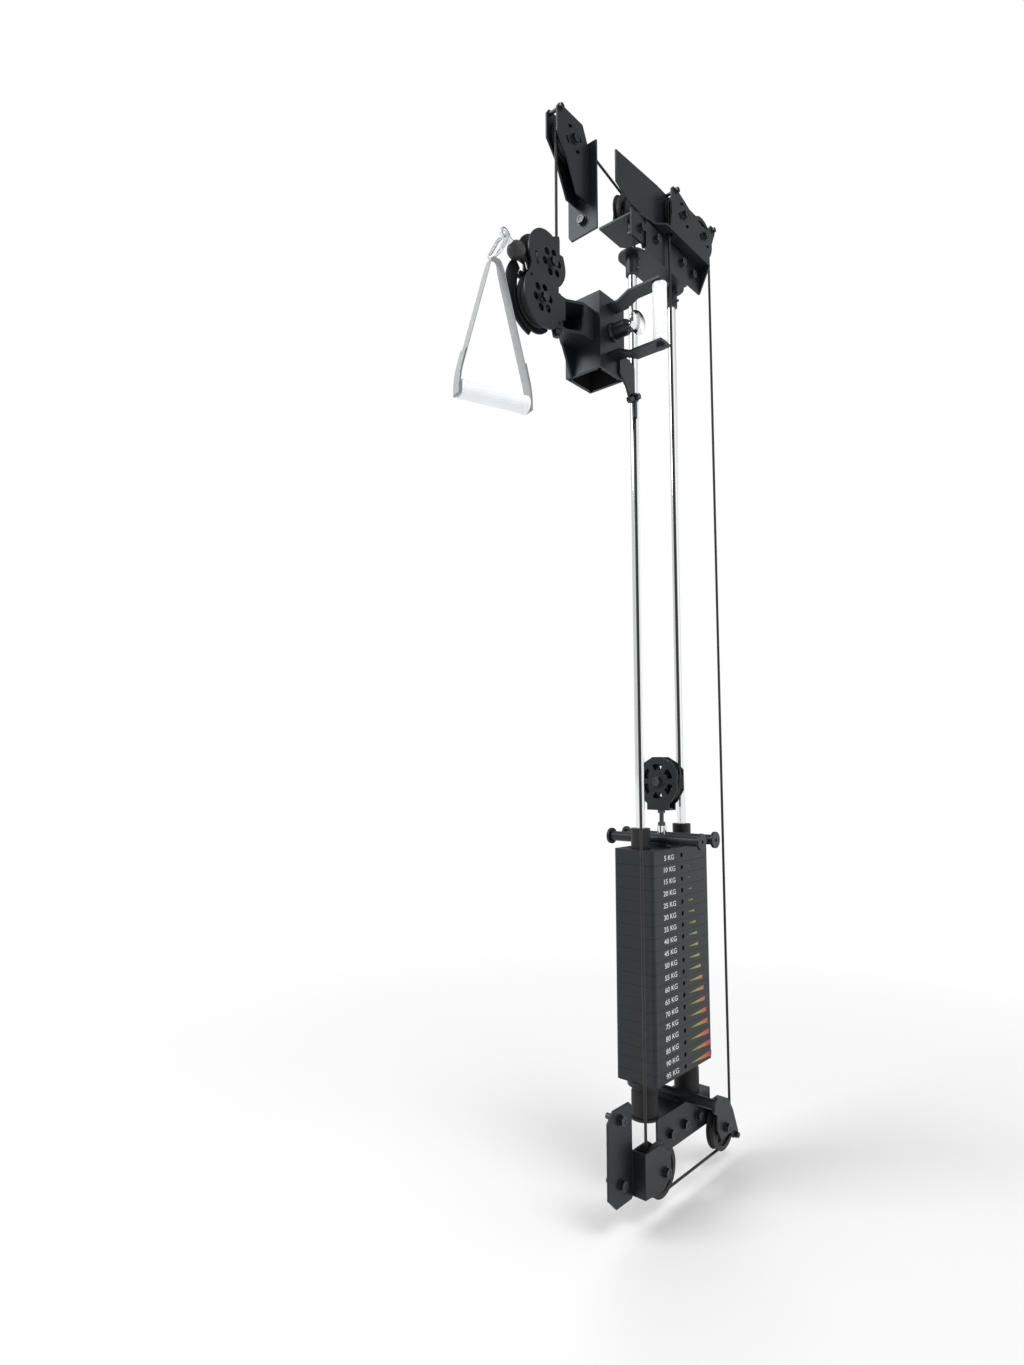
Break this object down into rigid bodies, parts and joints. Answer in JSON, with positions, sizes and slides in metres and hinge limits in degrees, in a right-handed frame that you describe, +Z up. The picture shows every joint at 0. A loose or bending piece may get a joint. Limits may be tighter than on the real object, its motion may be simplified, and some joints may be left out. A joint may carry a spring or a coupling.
{
  "type": "cable pulley attachment",
  "caption": "Rack-mounted cable pulley unit: sliding swivel pulley trolley, selectorised weight stack on twin guide rods, pulleys and D handle.",
  "frame": {"origin": "middle of the base bolt row, on the face that the base bracket bolts to", "axes": "+X outward from the rack's side, +Y rearward along the beams, +Z up along the guide rods"},
  "size_m": [0.288, 0.8459, 2.257],
  "materials": {
    "black_steel": "fine satin black powder coat over welded sheet steel",
    "plate_iron": "satin black enamel over cast iron",
    "chrome": "polished chrome plate",
    "zinc": "bright zinc-plated steel",
    "black_oxide": "black oxide over rolled steel fasteners",
    "nylon": "black moulded nylon",
    "rubber": "matt black moulded rubber",
    "cable_coat": "black nylon coating over steel wire rope",
    "webbing": "grey woven webbing",
    "grip_foam": "pale moulded rubber",
    "ball_plastic": "dark moulded plastic"
  },
  "bodies": {
    "frame": {"base_bracket": "black_steel", "frame_bolts": "black_oxide", "base_peg": "black_steel", "bumpers": "rubber", "bumper_discs": "black_steel", "guide_rods": "chrome", "rod_holder": "black_steel", "weight_plates": "plate_iron", "upper_bracket": "black_steel", "inner_cheek": "black_steel", "outer_cheek": "black_steel", "inner_pulley_bracket": "black_steel", "top_bracket": "black_steel", "lower_front_bracket": "black_steel", "lower_rear_bracket": "black_steel", "frame_axles": "black_oxide", "cable_retainers": "black_oxide", "cable_fixed_runs": "cable_coat", "cable_front_strand": "cable_coat", "cable_stack_strands": "cable_coat", "cable_return_strand": "cable_coat"},
    "trolley": {"trolley_sleeve": "black_steel", "trolley_liners": "nylon", "yoke": "black_steel", "grab_arms": "black_steel", "grab_grip": "grip_foam", "pin_housing": "black_steel", "anchor_tab": "black_steel", "anchor_hook": "black_oxide"},
    "pop_pin": {"pin_plunger": "chrome", "pin_spring": "zinc", "pin_knob": "chrome"},
    "swivel_head": {"head_cheeks": "black_steel", "head_pivot": "black_steel", "head_axles": "black_oxide", "arc_guard": "black_steel", "cable_nip_turn": "cable_coat"},
    "cable_end": {"ball_stop": "ball_plastic", "cable_pull_end": "cable_coat"},
    "snap_link": {"carabiner": "chrome"},
    "link_gate": {"carabiner_gate": "chrome"},
    "handle": {"handle_strap": "webbing"},
    "hand_grip": {"handle_grip": "grip_foam"},
    "stack_head": {"head_plate": "plate_iron", "head_bushings": "nylon", "head_pegs": "black_steel", "stack_coupling": "chrome", "stack_cheeks": "black_steel", "stack_axle": "black_oxide", "selector_rod": "chrome", "cable_stack_wrap": "cable_coat"},
    "top_wheel_body": {"top_wheel": "nylon"},
    "inner_wheel_body": {"inner_wheel": "nylon"},
    "stack_wheel_body": {"stack_wheel": "nylon"},
    "upper_wheel_a_body": {"upper_wheel_a": "nylon"},
    "upper_wheel_b_body": {"upper_wheel_b": "nylon"},
    "lower_rear_wheel_body": {"lower_rear_wheel": "nylon"},
    "lower_front_wheel_body": {"lower_front_wheel": "nylon"},
    "head_upper_wheel_body": {"head_upper_wheel": "nylon"},
    "head_lower_wheel_body": {"head_lower_wheel": "nylon"}
  },
  "joints": [
    {"name": "trolley_slide", "type": "slide", "parent": "frame", "child": "trolley", "axis": [0, 0, 1], "range_m": [-1.35, 0.05], "deforming": ["cable_front_strand", "cable_return_strand"]},
    {"name": "pin_pull", "type": "slide", "parent": "trolley", "child": "pop_pin", "axis": [1, 0, 0], "range_m": [0, 0.018], "stiffness_N_per_m": 1500, "springref_m": -0.01},
    {"name": "head_swivel", "type": "hinge", "parent": "trolley", "child": "swivel_head", "pos_m": [-0.0375, -0.383, 1.704], "axis": [0, 0, 1], "range_deg": [-75, 75]},
    {"name": "pull", "type": "slide", "parent": "swivel_head", "child": "cable_end", "axis": [0, -0.9732, 0.2298], "range_m": [0, 2]},
    {"name": "link_swing", "type": "hinge", "parent": "cable_end", "child": "snap_link", "pos_m": [-0.0375, -0.545, 1.796], "axis": [1, 0, 0], "range_deg": [-90, 0]},
    {"name": "gate_snap", "type": "hinge", "parent": "snap_link", "child": "link_gate", "pos_m": [-0.023, -0.57147, 1.74586], "axis": [0, 0.8742, -0.4856], "range_deg": [-20, 0], "stiffness_Nm_per_rad": 0.2, "springref_deg": 17.19},
    {"name": "handle_swing", "type": "hinge", "parent": "snap_link", "child": "handle", "pos_m": [-0.0375, -0.57851, 1.73318], "axis": [1, 0, 0], "range_deg": [-30, 30]},
    {"name": "grip_spin", "type": "hinge", "parent": "handle", "child": "hand_grip", "pos_m": [-0.0375, -0.575, 1.459], "axis": [0.3289, 0.9444, 0], "continuous": true},
    {"name": "stack_lift", "type": "slide", "parent": "frame", "child": "stack_head", "axis": [0, 0, 1], "range_m": [0, 1], "deforming": ["cable_stack_strands"]},
    {"name": "top_spin", "type": "hinge", "parent": "frame", "child": "top_wheel_body", "pos_m": [-0.0375, -0.34, 2.111], "axis": [1, 0, 0], "continuous": true},
    {"name": "inner_spin", "type": "hinge", "parent": "frame", "child": "inner_wheel_body", "pos_m": [-0.07198, -0.06413, 2.1055], "axis": [0.9923, 0.124, 0], "continuous": true},
    {"name": "stack_spin", "type": "hinge", "parent": "stack_head", "child": "stack_wheel_body", "pos_m": [-0.0295, -0.016, 0.742], "axis": [0, 1, 0], "continuous": true},
    {"name": "upper_a_spin", "type": "hinge", "parent": "frame", "child": "upper_wheel_a_body", "pos_m": [0.019, 0.0325, 2.111], "axis": [1, 0, 0], "continuous": true},
    {"name": "upper_b_spin", "type": "hinge", "parent": "frame", "child": "upper_wheel_b_body", "pos_m": [0.019, 0.1365, 2.111], "axis": [1, 0, 0], "continuous": true},
    {"name": "lower_rear_spin", "type": "hinge", "parent": "frame", "child": "lower_rear_wheel_body", "pos_m": [0.019, 0.1365, -0.0425], "axis": [1, 0, 0], "continuous": true},
    {"name": "lower_front_spin", "type": "hinge", "parent": "frame", "child": "lower_front_wheel_body", "pos_m": [0.019, -0.132, -0.0425], "axis": [1, 0, 0], "continuous": true},
    {"name": "head_upper_spin", "type": "hinge", "parent": "swivel_head", "child": "head_upper_wheel_body", "pos_m": [-0.0375, -0.418, 1.794], "axis": [1, 0, 0], "continuous": true},
    {"name": "head_lower_spin", "type": "hinge", "parent": "swivel_head", "child": "head_lower_wheel_body", "pos_m": [-0.0375, -0.447, 1.706], "axis": [1, 0, 0], "continuous": true}
  ],
  "couplings": [
    {"joint": "stack_lift", "follows": "pull", "ratio": 0.5},
    {"joint": "top_spin", "follows": "pull", "rad_per_m": 23.256},
    {"joint": "inner_spin", "follows": "pull", "rad_per_m": 20.619},
    {"joint": "stack_spin", "follows": "pull", "rad_per_m": 10.309},
    {"joint": "upper_a_spin", "follows": "trolley_slide", "rad_per_m": -20.619},
    {"joint": "upper_b_spin", "follows": "trolley_slide", "rad_per_m": -20.619},
    {"joint": "lower_rear_spin", "follows": "trolley_slide", "rad_per_m": -20.619},
    {"joint": "lower_front_spin", "follows": "trolley_slide", "rad_per_m": -20.619},
    {"joint": "head_upper_spin", "follows": "pull", "rad_per_m": -28.571}
  ]
}
